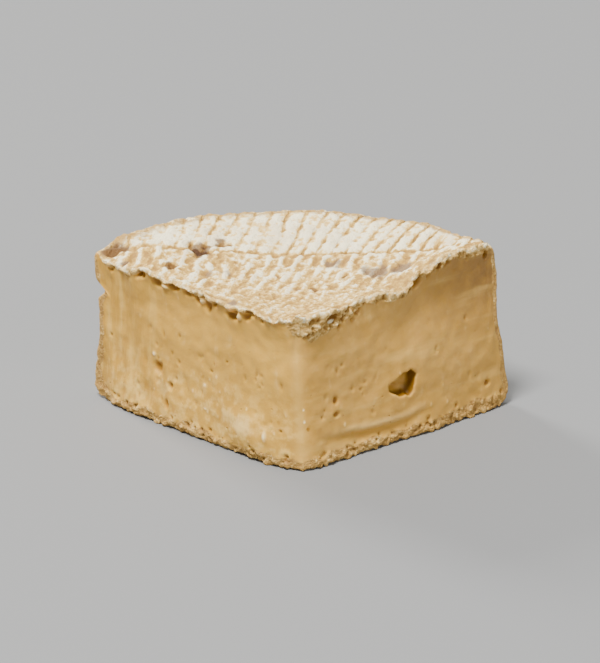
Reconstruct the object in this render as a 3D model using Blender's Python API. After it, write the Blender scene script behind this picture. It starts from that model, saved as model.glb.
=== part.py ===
"""A wedge of camembert: a little over a quarter of a soft, white-rinded cheese, cut from the wheel.

Units are metres and +Z is up. The two cut faces meet in the wedge's point, which looks along -Y,
and the rind's side closes the back. The origin is on the resting face, under the middle.

The blank is a sector of the wheel, spun from the half section of the whole cheese. The gas eyes
are cut out of it, and it is then remeshed into even faces, which are pushed in and out to make the
sagging paste, the rack marks on the rind and the crumbs along the cut edges.
"""

import math

import bmesh
import bpy
import numpy as np
from mathutils import Matrix, Vector, noise

MM = 0.001

# Driving dimensions
WHEEL_RADIUS = 55 * MM
RIM_HEIGHT = 34 * MM
POINT_HEIGHT = 30.2 * MM
HALF_ANGLE = math.radians(48)
SHOULDER = 3.5 * MM
RIND = 1.7 * MM

# How finely the blank is spun and remeshed, and how many triangles the finished solid keeps
SPIN_STEPS = 48
SHOULDER_STEPS = 5
FACE_SIZE = 0.55 * MM
SOLID_TRIANGLES = 9600

# How deep below the top or a cut face, and below the round side, the relief still moves the skin
SKIN = 2.2 * MM
SIDE_SKIN = 3 * SKIN

# The marks of the ripening rack on the top: ribs, and the line that crosses them
RACK_TURN = math.radians(12)
RIB_PITCH = 0.058 * WHEEL_RADIUS
RIB_WIDTH = 0.17 * RIB_PITCH
RIB_DEPTH = 0.40 * MM
CROSS_MARK = 0.655 * WHEEL_RADIUS
CROSS_MARK_WIDTH = 1.2 * RIB_WIDTH
CROSS_MARK_DEPTH = 0.5 * MM

# How the soft cheese has settled: it leans to the left, and its point is blunted
LEAN = 1.9 * MM
POINT_WEAR = 1.6 * MM
POINT_REACH = 5 * MM

# How the round side stands: spread at the foot on the left, flatter on the right, with a waist.
# Heights there are fractions of the rim's height.
SIDE_SPREAD = 2.6 * MM
SIDE_SPREAD_TOP = 0.75
SIDE_FLAT = 1.2 * MM
SIDE_WAIST = 0.9 * MM
SIDE_WAIST_AT = 0.45
SIDE_WAIST_REACH = 0.35

# How the cut faces stand: bulging low down between the point and the side, and drawn in under the rind
LEFT_BULGE = 1.6 * MM
RIGHT_BULGE = 0.3 * MM
BULGE_AT = 0.08
BULGE_REACH = 0.55
BULGE_RUN = 10 * MM
UNDERCUT = 0.7 * MM
UNDERCUT_AT = 0.80
UNDERCUT_REACH = 0.25

# How far the top stands off its even height along each cut edge: distance from the point, height
LEFT_EDGE = (
    (0 * MM, -0.6 * MM),
    (38 * MM, -0.6 * MM),
    (45 * MM, -3.4 * MM),
    (50 * MM, -3.4 * MM),
    (55 * MM, -1.3 * MM),
)
RIGHT_EDGE = (
    (0 * MM, 1.3 * MM),
    (20 * MM, 1.5 * MM),
    (27.5 * MM, 0.1 * MM),
    (33 * MM, 2.6 * MM),
    (40 * MM, 3.0 * MM),
    (50 * MM, 0.9 * MM),
)
LEFT_EDGE_REACH = 7 * MM
RIGHT_EDGE_REACH = 9 * MM

# Uneven surfaces: size of the lumps, their height and the seed of the noise
TOP_WAVES = (13 * MM, 0.7 * MM, 3)
TOP_GRAIN = (2.2 * MM, 0.22 * MM, 4)
PASTE_WAVES = (12 * MM, 0.8 * MM, 6)
PASTE_FLUTES = (3.4 * MM, 0.8 * MM, 12)
SIDE_WAVES = (9 * MM, 0.9 * MM, 11)
SIDE_WRINKLES = (3.2 * MM, 0.7 * MM, 10)
WRINKLE_SLOPE = 0.25
RACK_WANDER = (14 * MM, 1.4 * MM, 1)
RACK_WEAR = (11 * MM, 1.0, 2)
RAGGED_LINE = (3 * MM, 0.5, 8)

# The crumbly edges of the rind along the cuts: size of the crumbs, their height and the seed
TOP_CRUMBS = (2.3 * MM, 0.55 * MM, 5)
FOOT_CRUMBS = (3.0 * MM, 0.75 * MM, 9)
TOP_EDGE = RIND
FOOT_EDGE = 2.2 * RIND
FOOT_LIFT = 0.6 * MM

# The fold along the foot of the right cut face: it starts low near the point and climbs
FOLD_START = 10 * MM
FOLD_HEIGHT = 4.2 * MM
FOLD_SLOPE = 0.11
FOLD_DEPTH = 0.7 * MM
FOLD_EDGE = 0.5 * MM
FOLD_MIDDLE = 20 * MM
FOLD_REACH = 14 * MM

# The soft swelling low on the left cut face near the point, and the upright flutes at its far end
SWELLING_AT = 13 * MM
SWELLING_HEIGHT = 6 * MM
SWELLING_REACH = 7 * MM
SWELLING = 0.9 * MM
FLUTES_START = 36 * MM
FLUTES_FULL = 48 * MM
FLUTES_SLOPE = 0.12

# The notch in the side's rind at the left corner: height, half height and depth
NOTCH_HEIGHT = 24.3 * MM
NOTCH_REACH = 2.4 * MM
NOTCH_DEPTH = 2.4 * MM

# Gas eyes open on a cut face: distance from the point, height, half width, half height, depth, turn
RIGHT_EYES = (
    (27.0 * MM, 12.7 * MM, 4.0 * MM, 2.5 * MM, 4.0 * MM, math.radians(38)),
    (29.0 * MM, 11.4 * MM, 1.7 * MM, 1.5 * MM, 2.0 * MM, math.radians(0)),
    (9.6 * MM, 13.6 * MM, 0.8 * MM, 1.1 * MM, 1.3 * MM, math.radians(10)),
    (9.4 * MM, 10.6 * MM, 1.1 * MM, 0.8 * MM, 1.2 * MM, math.radians(-12)),
    (48.0 * MM, 5.9 * MM, 0.9 * MM, 0.8 * MM, 1.0 * MM, math.radians(0)),
)
LEFT_EYES = (
    (37.7 * MM, 12.4 * MM, 1.0 * MM, 1.3 * MM, 1.2 * MM, math.radians(20)),
    (34.0 * MM, 9.6 * MM, 0.7 * MM, 0.9 * MM, 1.0 * MM, math.radians(-8)),
)
EYE_LUMPS = 0.35
EYE_SEED_STEP = 4.1

# Small hollows in the top rind: place across and away from the point, reach and depth
TOP_DENTS = (
    (-37.5 * MM, 37.5 * MM, 3.2 * MM, 1.0 * MM),
    (-21.4 * MM, 38.2 * MM, 1.8 * MM, 0.7 * MM),
    (-27.0 * MM, 30.9 * MM, 1.8 * MM, 0.6 * MM),
    (15.8 * MM, 30.1 * MM, 4.2 * MM, 0.5 * MM),
)

# What is this close to the floor rests on it
RESTING = 0.05 * MM

RIND_COLOUR = (0.79, 0.70, 0.56, 1.0)
RIND_ROUGHNESS = 0.75
SHARP_ANGLE = math.radians(50)


def clear_scene():
    """Removes whatever the startup file holds."""
    for thing in list(bpy.data.objects):
        bpy.data.objects.remove(thing, do_unlink=True)


def soft_step(value, low, high):
    """0 below low and 1 above high, with a smooth ramp between them."""
    t = np.clip((value - low) / (high - low), 0.0, 1.0)
    return t * t * (3.0 - 2.0 * t)


def hump(value, middle, reach):
    """1 at the middle, falling smoothly to 0 at a reach on either side."""
    return 1.0 - soft_step(np.abs(value - middle), 0.0, reach)


def follow(distance, stations):
    """The height at a distance along a run of (distance, height) stations, smooth between them."""
    height = stations[0][1]
    for (start, before), (end, after) in zip(stations, stations[1:]):
        height = height + (after - before) * soft_step(distance, start, end)
    return height


def lumps(points, size, height, seed):
    """Smooth noise at each point, about 0.6 of the height up and down."""
    offset = Vector((3.7 * seed, 11.3 * seed, 7.9 * seed))
    return height * np.array([noise.noise(Vector(p) / size + offset) for p in points])


def crumbs(points, size, height, seed):
    """Rounded grains at each point: the height on a grain's crown and 0 in the cracks between."""
    offset = Vector((5.3 * seed, 2.9 * seed, 13.1 * seed))
    nearest = [noise.voronoi(Vector(p) / size + offset)[0] for p in points]
    return height * np.array([soft_step(d[1] - d[0], 0.0, 0.6) for d in nearest])


def half_section():
    """The wheel's half section as (radius, height) points, with rounded shoulders at the rim."""
    points = [(0.0, 0.0)]
    for middle, start in ((SHOULDER, -90), (RIM_HEIGHT - SHOULDER, 0)):
        for step in range(SHOULDER_STEPS + 1):
            angle = math.radians(start + 90 * step / SHOULDER_STEPS)
            radius = WHEEL_RADIUS - SHOULDER + SHOULDER * math.cos(angle)
            points.append((radius, middle + SHOULDER * math.sin(angle)))
    points.append((0.0, RIM_HEIGHT))
    return points


def sector_blank():
    """A sharp-edged sector of the wheel, symmetric about the YZ plane, with its point at the origin."""
    sector = bmesh.new()
    start = Matrix.Rotation(-HALF_ANGLE, 4, "Z")
    corners = [sector.verts.new(start @ Vector((0.0, r, z))) for r, z in half_section()]
    section = sector.faces.new(corners)
    bmesh.ops.spin(
        sector,
        geom=[*section.verts, *section.edges, section],
        cent=(0.0, 0.0, 0.0),
        axis=(0.0, 0.0, 1.0),
        angle=2 * HALF_ANGLE,
        steps=SPIN_STEPS,
    )
    bmesh.ops.remove_doubles(sector, verts=sector.verts, dist=0.001 * MM)
    bmesh.ops.recalc_face_normals(sector, faces=sector.faces)
    mesh = bpy.data.meshes.new("camembert_wedge")
    sector.to_mesh(mesh)
    sector.free()
    wedge = bpy.data.objects.new("camembert_wedge", mesh)
    bpy.context.scene.collection.objects.link(wedge)
    return wedge


def cut_face(side):
    """(direction away from the point, outward normal) of a cut face: side is -1 for left, 1 for right."""
    away = Vector((side * math.sin(HALF_ANGLE), math.cos(HALF_ANGLE), 0.0))
    outward = Vector((side * math.cos(HALF_ANGLE), -math.sin(HALF_ANGLE), 0.0))
    return away, outward


def gas_eye(number, side, eye):
    """A lumpy egg that cuts one gas eye out of a cut face. Its turn lifts the end away from the point."""
    distance, height, half_width, half_height, depth, turn = eye
    away, outward = cut_face(side)
    egg = bmesh.new()
    bmesh.ops.create_icosphere(egg, subdivisions=3, radius=1.0)
    offset = Vector((EYE_SEED_STEP * number, 0.0, 0.0))
    for vertex in egg.verts:
        vertex.co *= 1.0 + EYE_LUMPS * noise.noise(1.3 * vertex.co + offset)
    place = Matrix.Translation(away * distance + Vector((0.0, 0.0, height)))
    facing = Vector((0.0, 1.0, 0.0)).rotation_difference(outward).to_matrix().to_4x4()
    size = Matrix.Diagonal((half_width, depth, half_height, 1.0))
    egg.transform(place @ facing @ Matrix.Rotation(side * turn, 4, "Y") @ size)
    mesh = bpy.data.meshes.new(f"gas_eye_{number}")
    egg.to_mesh(mesh)
    egg.free()
    cutter = bpy.data.objects.new(mesh.name, mesh)
    bpy.context.scene.collection.objects.link(cutter)
    return cutter


def cut_eyes(wedge):
    """Cuts every gas eye out of the blank and leaves no cutter behind."""
    sides = [(-1, eye) for eye in LEFT_EYES] + [(1, eye) for eye in RIGHT_EYES]
    cutters = [gas_eye(number, side, eye) for number, (side, eye) in enumerate(sides)]
    for cutter in cutters:
        cut = wedge.modifiers.new(cutter.name, "BOOLEAN")
        cut.operation = "DIFFERENCE"
        cut.object = cutter
    apply_modifiers(wedge)
    for cutter in cutters:
        bpy.data.objects.remove(cutter, do_unlink=True)


def apply_modifiers(thing):
    """Replaces an object's mesh by what its modifiers make of it."""
    graph = bpy.context.evaluated_depsgraph_get()
    made = bpy.data.meshes.new_from_object(thing.evaluated_get(graph))
    thing.modifiers.clear()
    thing.data = made


def remesh(wedge):
    """Gives the blank an even skin of small faces."""
    skin = wedge.modifiers.new("even faces", "REMESH")
    skin.mode = "VOXEL"
    skin.voxel_size = FACE_SIZE
    apply_modifiers(wedge)


def rack_marks(x, y):
    """Height of the rack's marks: broad ribs between grooves at the rim, thin crests further in."""
    across = x * math.cos(RACK_TURN) - y * math.sin(RACK_TURN)
    off_line = np.abs((across / RIB_PITCH + 0.5) % 1.0 - 0.5) * RIB_PITCH
    line = np.exp(-((off_line / RIB_WIDTH) ** 2))
    outer = soft_step(y, CROSS_MARK - CROSS_MARK_WIDTH, CROSS_MARK + CROSS_MARK_WIDTH)
    cross = np.exp(-(((y - CROSS_MARK) / CROSS_MARK_WIDTH) ** 2))
    return RIB_DEPTH * line * (1 - 2 * outer) - CROSS_MARK_DEPTH * cross


def top_relief(points, cut_distance):
    """How far the top rind stands above the blank's flat top."""
    x, y, _ = points.T
    worn = soft_step(lumps(points, *RACK_WEAR), -0.25, 0.2)
    relief = rack_marks(x + lumps(points, *RACK_WANDER), y) * (0.45 + 0.55 * worn)
    relief += lumps(points, *TOP_WAVES) + lumps(points, *TOP_GRAIN)
    for dent_x, dent_y, reach, depth in TOP_DENTS:
        relief -= depth * hump(np.hypot(x - dent_x, y - dent_y), 0.0, reach)
    edge = hump(cut_distance, 0.0, 2 * TOP_EDGE)
    return relief + edge * (crumbs(points, *TOP_CRUMBS) - TOP_CRUMBS[1] / 2)


def settle(x, y, left_distance, right_distance):
    """How far the top has sunk from the rim's height, by place on the wheel."""
    radius = np.hypot(x, y)
    drop = (RIM_HEIGHT - POINT_HEIGHT) * (1 - soft_step(radius, 0.4 * WHEEL_RADIUS, 0.95 * WHEEL_RADIUS))
    near_left = 1 - soft_step(left_distance, 0.0, LEFT_EDGE_REACH)
    near_right = 1 - soft_step(right_distance, 0.0, RIGHT_EDGE_REACH)
    return near_left * follow(radius, LEFT_EDGE) + near_right * follow(radius, RIGHT_EDGE) - drop


def paste_relief(points, side, along):
    """How far a cut face bulges: slumped below, drawn in under the rind, ragged at both rinds."""
    height = points[:, 2]
    up = height / RIM_HEIGHT
    nearest_end = np.minimum(along, WHEEL_RADIUS - along)
    bulge = (RIGHT_BULGE if side > 0 else LEFT_BULGE) * soft_step(nearest_end, 0.0, BULGE_RUN)
    relief = bulge * hump(up, BULGE_AT, BULGE_REACH) + lumps(points, *PASTE_WAVES)
    relief -= UNDERCUT * hump(up, UNDERCUT_AT, UNDERCUT_REACH)
    if side > 0:
        fold = FOLD_HEIGHT + FOLD_SLOPE * (along - FOLD_START)
        under_fold = soft_step(fold - height, -FOLD_EDGE, FOLD_EDGE)
        relief -= FOLD_DEPTH * under_fold * hump(along, FOLD_MIDDLE, FOLD_REACH)
    else:
        from_swelling = np.hypot(along - SWELLING_AT, height - SWELLING_HEIGHT)
        upright = np.stack([along, FLUTES_SLOPE * height, 0 * height], 1)
        relief += SWELLING * hump(from_swelling, 0.0, SWELLING_REACH)
        relief += lumps(upright, *PASTE_FLUTES) * soft_step(along, FLUTES_START, FLUTES_FULL)
    return relief + soft_step(along, 0.0, POINT_REACH) * rind_crumbs(points)


def rind_crumbs(points):
    """How far the crumbly rind stands out of a cut face, along ragged lines under the top and at the foot."""
    height = points[:, 2]
    ragged = lumps(points, *RAGGED_LINE)
    from_top = (RIM_HEIGHT - height) / TOP_EDGE - ragged
    from_foot = height / FOOT_EDGE - ragged
    at_top = (1 - soft_step(from_top, 0.8, 1.3)) * crumbs(points, *TOP_CRUMBS)
    return at_top + (1 - soft_step(from_foot, 0.7, 1.3)) * crumbs(points, *FOOT_CRUMBS)


def side_relief(points, bearing):
    """How far the rind's side stands out: upright wrinkles, and a waist above the spreading foot."""
    height = points[:, 2]
    up = height / RIM_HEIGHT
    upright = np.stack([bearing * WHEEL_RADIUS, WRINKLE_SLOPE * height, 0 * height], 1)
    relief = lumps(upright, *SIDE_WRINKLES) + lumps(points, *SIDE_WAVES)
    to_left = 0.5 - 0.5 * bearing / HALF_ANGLE
    relief += SIDE_SPREAD * to_left * (1 - soft_step(up, 0.0, SIDE_SPREAD_TOP))
    relief -= SIDE_WAIST * hump(up, SIDE_WAIST_AT, SIDE_WAIST_REACH)
    relief -= SIDE_FLAT * soft_step(bearing, 0.3 * HALF_ANGLE, HALF_ANGLE)
    left_end = soft_step(-bearing, 0.8 * HALF_ANGLE, HALF_ANGLE)
    return relief - NOTCH_DEPTH * left_end * hump(height, NOTCH_HEIGHT, NOTCH_REACH)


def mesh_points(mesh):
    """A mesh's points as an array of rows."""
    points = np.empty(3 * len(mesh.vertices), np.float32)
    mesh.vertices.foreach_get("co", points)
    return points.reshape(-1, 3).astype(float)


def set_mesh_points(mesh, points):
    """Moves a mesh's points to the rows of an array."""
    mesh.vertices.foreach_set("co", points.astype(np.float32).ravel())
    mesh.update()


def shape(wedge):
    """Moves the remeshed blank's points to make the settled, ribbed and crumbly cheese."""
    rest = mesh_points(wedge.data)
    x, y, z = rest.T
    radius = np.hypot(x, y)
    bearing = np.arctan2(x, y)
    moved = rest.copy()

    distances = {}
    for side in (-1, 1):
        away, outward = (np.array(v) for v in cut_face(side))
        distances[side] = -(rest @ outward)
        skin = 1 - soft_step(distances[side], 0.0, SKIN)
        moved += np.outer(skin * paste_relief(rest, side, rest @ away), outward)
    cut_distance = np.minimum(distances[-1], distances[1])

    skin = 1 - soft_step(WHEEL_RADIUS - radius, 0.0, SIDE_SKIN)
    out = np.stack([np.sin(bearing), np.cos(bearing), 0 * z], 1)
    moved += out * (skin * side_relief(rest, bearing))[:, None]

    skin = 1 - soft_step(RIM_HEIGHT - z, 0.0, SKIN)
    moved[:, 2] += skin * top_relief(rest, cut_distance)
    moved[:, 2] += settle(x, y, distances[-1], distances[1]) * z / RIM_HEIGHT
    moved[:, 1] += POINT_WEAR * np.clip(1 - radius / POINT_REACH, 0.0, 1.0) ** 2
    moved[:, 0] -= LEAN * z / RIM_HEIGHT

    # The underside stays flat where it rests, and its crumbly border lifts a little off the floor
    border = hump(cut_distance, 0.0, FOOT_CRUMBS[0])
    cracks = 1 - crumbs(rest, *FOOT_CRUMBS) / FOOT_CRUMBS[1]
    moved[:, 2] += FOOT_LIFT * (1 - soft_step(z, 0.0, SKIN)) * border * cracks
    set_mesh_points(wedge.data, moved)


def simplify(wedge):
    """Keeps the faces where the relief needs them and drops the rest."""
    wedge.data.calc_loop_triangles()
    fewer = wedge.modifiers.new("fewer faces", "DECIMATE")
    fewer.ratio = SOLID_TRIANGLES / len(wedge.data.loop_triangles)
    fewer.use_collapse_triangulate = True
    apply_modifiers(wedge)


def place(wedge):
    """Moves the origin to the resting face under the middle, and makes that face truly flat."""
    points = mesh_points(wedge.data)
    points[:, :2] -= (points.min(0) + points.max(0))[:2] / 2
    points[:, 2] = np.where(points[:, 2] < RESTING, 0.0, points[:, 2])
    set_mesh_points(wedge.data, points)


def dress(wedge):
    """The rind's own off-white, dry and matt."""
    rind = bpy.data.materials.new("rind")
    rind.use_nodes = True
    shader = rind.node_tree.nodes["Principled BSDF"]
    shader.inputs["Base Color"].default_value = RIND_COLOUR
    shader.inputs["Roughness"].default_value = RIND_ROUGHNESS
    shader.inputs["Metallic"].default_value = 0.0
    wedge.data.materials.append(rind)
    wedge.data.shade_smooth()
    wedge.data.set_sharp_from_angle(angle=SHARP_ANGLE)


def main():
    clear_scene()
    wedge = sector_blank()
    cut_eyes(wedge)
    remesh(wedge)
    shape(wedge)
    simplify(wedge)
    place(wedge)
    dress(wedge)


main()
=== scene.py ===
"""The looks of a wedge of camembert: ribbed white rind, golden paste and crumbly cut edges.

Everything is in metres in the frame's own space: +Z is up, the wedge's point looks along -Y and its
origin is on the floor under the middle. The cheese is modelled as a sector of its wheel with the
sharp point at the wheel's centre, and the finished mesh is then moved into the frame's box.
"""

import logging
import math
import random
from dataclasses import dataclass
from enum import Enum
from typing import ClassVar

import bmesh
import bpy
import numpy as np
from mathutils import Matrix, Vector, noise
from mathutils.bvhtree import BVHTree

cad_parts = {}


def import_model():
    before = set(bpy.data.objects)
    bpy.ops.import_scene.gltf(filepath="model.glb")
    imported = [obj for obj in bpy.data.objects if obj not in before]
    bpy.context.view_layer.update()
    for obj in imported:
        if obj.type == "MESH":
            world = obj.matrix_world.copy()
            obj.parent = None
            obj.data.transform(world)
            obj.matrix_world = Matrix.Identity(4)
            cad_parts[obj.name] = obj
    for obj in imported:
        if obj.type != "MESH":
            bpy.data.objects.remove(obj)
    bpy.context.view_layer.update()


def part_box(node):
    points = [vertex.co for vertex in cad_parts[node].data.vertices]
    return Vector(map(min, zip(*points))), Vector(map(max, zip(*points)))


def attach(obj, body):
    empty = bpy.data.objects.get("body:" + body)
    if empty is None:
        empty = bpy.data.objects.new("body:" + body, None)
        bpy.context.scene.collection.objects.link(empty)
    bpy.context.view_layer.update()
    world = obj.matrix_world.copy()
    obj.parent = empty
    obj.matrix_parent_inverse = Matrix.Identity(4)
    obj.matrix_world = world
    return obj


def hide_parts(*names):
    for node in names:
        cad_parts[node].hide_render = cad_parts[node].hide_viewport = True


MM = 0.001
NODE = "camembert_wedge"
BODY = "root"
FACE_SIZE = 0.39 * MM
SMOOTH = {"interpolation_type": "SMOOTHSTEP"}

Array = np.ndarray
Thing = bpy.types.Object
Socket = bpy.types.NodeSocket

log = logging.getLogger("camembert")


class Side(Enum):
    """The two cut faces, as seen from the point."""

    LEFT = -1
    RIGHT = 1


def mm(lengths: float | tuple) -> float | tuple:
    """Turns a length in millimetres, or a nest of them, into metres."""
    return tuple(map(mm, lengths)) if isinstance(lengths, tuple) else lengths * MM


def table(kind: type, *rows: tuple) -> tuple:
    """Makes one thing of a kind from each row, whose first columns are in millimetres.

    Args:
        kind: The class, which says how many of its fields are lengths.
        rows: The values of its fields.

    Returns:
        The things, in the rows' order.
    """
    return tuple(kind(*mm(row[: kind.LENGTHS]), *row[kind.LENGTHS :]) for row in rows)


def soft_step(value: Array, low: float, high: float) -> Array:
    """Gives 0 below low and 1 above high, with a smooth ramp between them."""
    t = np.clip((value - low) / (high - low), 0.0, 1.0)
    return t * t * (3.0 - 2.0 * t)


def hump(value: Array, middle: float, reach: float) -> Array:
    """Gives 1 at the middle, falling smoothly to 0 at a reach on either side."""
    return 1.0 - soft_step(np.abs(value - middle), 0.0, reach)


def follow(distance: Array, stations: tuple) -> Array:
    """Runs smoothly through (distance, height) stations.

    Args:
        distance: Where the heights are wanted.
        stations: Pairs of distance and height, by growing distance.

    Returns:
        The height at each distance.
    """
    height = np.full(len(distance), stations[0][1])
    for (start, before), (end, after) in zip(stations, stations[1:]):
        height += (after - before) * soft_step(distance, start, end)
    return height


@dataclass(frozen=True)
class Pattern:
    """A noise in space: the size of its features, their height and the seed that moves it."""

    STEP: ClassVar[tuple] = (3.7, 11.3, 7.9)
    size: float
    height: float
    seed: int

    def places(self, points: Array) -> list:
        """Gives where the points lie in the noise."""
        scale, offset = 1.0 / self.size, Vector([step * self.seed for step in self.STEP])
        return [Vector(point) * scale + offset for point in points]


@dataclass(frozen=True)
class Lumps(Pattern):
    """Smooth unevenness, about 0.6 of its height up and down."""

    def at(self, points: Array) -> Array:
        """Gives the height at each point."""
        return self.height * np.array([noise.noise(place) for place in self.places(points)])


@dataclass(frozen=True)
class Grains(Pattern):
    """Rounded crumbs grown together, with how wide the cracks between them are."""

    STEP: ClassVar[tuple] = (5.3, 2.9, 13.1)
    crack: float = 0.6

    def at(self, points: Array) -> Array:
        """Gives the height on a crumb's crown and 0 in the cracks."""
        nearest = [noise.voronoi(place)[0] for place in self.places(points)]
        gaps = np.array([second - first for first, second, *_ in nearest])
        return self.height * soft_step(gaps, 0.0, self.crack)


@dataclass(frozen=True)
class GasEye:
    """A hole that gas left in the right cut face, with its turn in degrees."""

    LENGTHS: ClassVar[int] = 5
    distance: float
    height: float
    half_width: float
    half_height: float
    depth: float
    turn: float
    seed: float


@dataclass(frozen=True)
class Pit:
    """A small hollow in a cut face, upright where upright is above 1, with how dark it looks: its
    darkness is painted shade in the hollow.

    A pit with a depth and a darkness below 0 is a bright fleck that stands out: a white flake of rind
    at the lips, and a glint painted as a highlight on the paste.
    """

    LENGTHS: ClassVar[int] = 4
    FLOOR: ClassVar[float] = 0.15
    distance: float
    height: float
    reach: float
    depth: float
    dark: float
    upright: float = 1.0

    def nearness(self, along: Array, height: Array) -> Array:
        """Gives 1 at the pit's middle, falling to 0 at its reach."""
        away = np.hypot(along - self.distance, (height - self.height) / self.upright)
        return 1 - soft_step(away, self.FLOOR * self.reach, self.reach)


@dataclass(frozen=True)
class Pores:
    """Small pits or flecks scattered over the cut faces, with the ranges of their values.

    The counts are for the left and the right face, and lengths are in millimetres. The depth is a
    share of the reach, and the upright stretch is fixed, except where they have a range to draw from.
    """

    counts: tuple
    distance: tuple
    height: tuple
    reach: tuple
    dark: tuple
    depth_share: float = 0.0
    upright: float = 1.0
    depths: tuple = ()
    uprights: tuple = ()

    def scatter(self, side: Side, draw: random.Random) -> list:
        """Draws the pits of this kind.

        Args:
            side: The cut face that they are on.
            draw: Where the random numbers come from.

        Returns:
            The pits.
        """
        found = []
        for _ in range(self.counts[side is Side.RIGHT]):
            ranges = (self.distance, self.height, self.reach)
            distance, height, reach = (draw.uniform(*span) * MM for span in ranges)
            depth = draw.uniform(*self.depths) * MM if self.depths else self.depth_share * reach
            upright = draw.uniform(*self.uprights) if self.uprights else self.upright
            found.append(Pit(distance, height, reach, depth, draw.uniform(*self.dark), upright))
        return found


@dataclass(frozen=True)
class Dent:
    """A small hollow in the top rind, with how brown or grey it looks."""

    LENGTHS: ClassVar[int] = 5
    x: float
    y: float
    width: float
    length: float
    depth: float
    brown: float
    grey: float

    def nearness(self, x: Array, y: Array) -> Array:
        """Gives 1 at the hollow's middle, falling to 0 at its border."""
        return hump(np.hypot((x - self.x) / self.width, (y - self.y) / self.length), 0.0, 1.0)


@dataclass
class Wedge:
    """The cheese itself, from the wheel's sector to the settled and crumbly wedge.

    A field called a ramp is the start and the end of a smooth step. Places on a cut face are a
    distance from the point and a height. Places on the top are across and away from the point.
    """

    # The blank, and how deep the relief still moves its skin
    radius: float = mm(55)
    rim_height: float = mm(34)
    point_height: float = mm(30.2)
    half_angle: float = math.radians(48)
    shoulder: float = mm(3.5)
    shoulder_steps: int = 6
    spin_steps: int = 60
    weld: float = mm(0.001)
    face_size: float = FACE_SIZE
    skin: float = mm(2.2)
    side_skin: float = mm(6.6)
    resting: float = mm(0.05)

    # The rack's ribs, which fan out, and the line that crosses them
    rack_turn: float = math.radians(19)
    rack_fan: float = math.radians(0.38)
    rack_middle: float = mm(45)
    rack_wander: Lumps = Lumps(mm(14), mm(1.4), 1)
    rack_ripple: Lumps = Lumps(mm(5.5), mm(1.2), 27)
    ripple_loss: float = 0.6
    rib_pitch: float = mm(3.3)
    rib_depth: float = mm(0.31)
    rib_width: float = 0.17
    rib_narrowing: float = 0.05
    rib_turnover: float = 1.75
    rib_round: float = mm(0.12)
    cross_mark: float = mm(35)
    cross_width: float = mm(0.65)
    cross_depth: float = mm(0.5)

    # How clear the marks are: an even share, a share by wear and a share by breaks
    rack_wear: Lumps = Lumps(mm(11), 1.0, 2)
    wear_ramp: tuple = (-0.25, 0.2)
    rib_breaks: Lumps = Lumps(mm(3.6), 1.0, 25)
    break_ramp: tuple = (-0.12, 0.25)
    inner_marks: tuple = (0.10, 0.30, 0.60)
    outer_marks: tuple = (0.30, 0.40, 0.30)
    front_ramp: tuple = mm((-20, -8))
    front_loss: float = 0.7
    bare_middle: tuple = mm((-28, 41))
    bare_reach: tuple = mm((15, 7))
    bare_loss: float = 0.85

    # The top rind: waves, grain, crumbs and hollows
    top_waves: Lumps = Lumps(mm(13), mm(0.7), 3)
    top_grain: Lumps = Lumps(mm(2.2), mm(0.26), 4)
    top_specks: Lumps = Lumps(mm(0.9), mm(0.34), 21)
    lip_waves: Lumps = Lumps(mm(2.6), mm(0.85), 26)
    rough_ramp: tuple = mm((-2, 3))
    rough_share: float = 0.25
    rough_front: float = 0.35
    top_crumbs: Grains = Grains(mm(2.3), mm(0.55), 5)
    foot_crumbs: Grains = Grains(mm(1.9), mm(0.36), 9)
    fine_crumbs: Grains = Grains(mm(1.15), mm(0.40), 24)
    fine_share: float = 0.6
    dent_warp: tuple = (Lumps(mm(2.4), mm(1.7), 28), Lumps(mm(2), mm(1.7), 29))
    dents: tuple = table(
        Dent,
        (-36.0, 36.4, 4.6, 2.8, 1.5, 0.95, 1.8),
        (-34.0, 32.2, 2.6, 1.6, 0.8, 0.45, 1.9),
        (-35.4, 34.2, 3.0, 1.2, -0.7, 0.0, 0.0),
        (-30.0, 39.0, 7.5, 3.4, 0.4, 0.0, 0.52),
        (-19.2, 35.4, 3.0, 3.4, 1.2, 1.65, 0.8),
        (-15.6, 37.8, 3.6, 2.5, 0.6, 1.15, 0.3),
        (-21.4, 36.8, 1.6, 2.4, 0.5, 0.75, 0.4),
        (-24.4, 28.4, 1.9, 1.9, 0.9, 1.1, 0.0),
        (-16.9, 26.9, 1.3, 2.0, 0.4, 0.0, 1.0),
        (-13.8, 26.9, 1.4, 2.2, 0.4, 0.0, 0.9),
        (-4.4, 26.6, 0.9, 1.2, 0.4, 0.4, 1.0),
        (-11.0, 18.4, 0.8, 0.9, 0.4, 0.9, 0.0),
        (0.4, 21.0, 1.1, 1.0, 0.4, 0.3, 0.9),
        (3.3, 20.8, 1.1, 1.1, 0.5, 0.9, 0.0),
        (9.6, 26.4, 0.9, 1.3, 0.5, 0.9, 0.0),
        (7.2, 31.6, 3.4, 2.8, 0.5, 0.0, 1.3),
        (15.8, 27.6, 4.4, 4.4, 0.7, 0.0, 1.9),
        (20.4, 28.0, 2.4, 4.4, 0.6, 0.0, 1.8),
        (-11.9, 12.0, 1.8, 1.5, -0.3, 0.0, 1.7),
        (26.2, 24.8, 2.4, 4.0, -0.5, 0.48, 0.0),
        (33.4, 33.0, 2.4, 2.0, 0.3, 0.6, 0.3),
    )

    # How the cheese has settled: how far its top stands off along each cut, its lean and its point
    sink_ramp: tuple = (0.4, 0.95)
    left_edge: tuple = mm(
        ((0, 0.0), (12, 0.8), (26, 0.4), (38, -0.5), (45, -3.4), (50, -3.4), (55, -1.3))
    )
    right_edge: tuple = mm(((0, 1.3), (20, 1.5), (27.5, 0.1), (33, 2.6), (40, 3.0), (50, 0.9)))
    left_edge_reach: float = mm(7)
    right_edge_reach: float = mm(9)
    lean: float = mm(1.9)
    point_wear: float = mm(1.6)
    point_reach: float = mm(5)

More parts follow.
